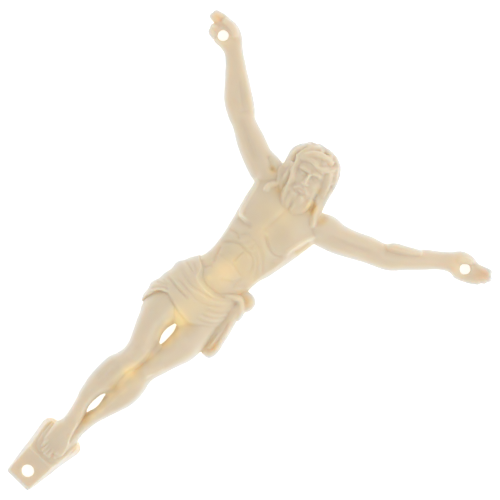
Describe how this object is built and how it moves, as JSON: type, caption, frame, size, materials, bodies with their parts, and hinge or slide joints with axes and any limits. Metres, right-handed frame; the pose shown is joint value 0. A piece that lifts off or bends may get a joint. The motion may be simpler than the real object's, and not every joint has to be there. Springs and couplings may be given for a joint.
{
  "type": "corpus figure",
  "caption": "Small moulded corpus for a cross: a crucified figure with open arms, crossed feet on a footrest and nail holes in both palms and the footrest.",
  "frame": {"origin": "middle of the length and breadth, on the plane that the figure's back, hands and footrest lie on", "axes": "+Y along the figure towards its head, +Z out of its front, +X towards its left hand, which is the viewer's right"},
  "size_m": [0.1044, 0.1302, 0.0187],
  "materials": {
    "ivory_plastic": "satin, slightly translucent"
  },
  "bodies": {
    "root": {"corpus": "ivory_plastic"}
  },
  "joints": []
}
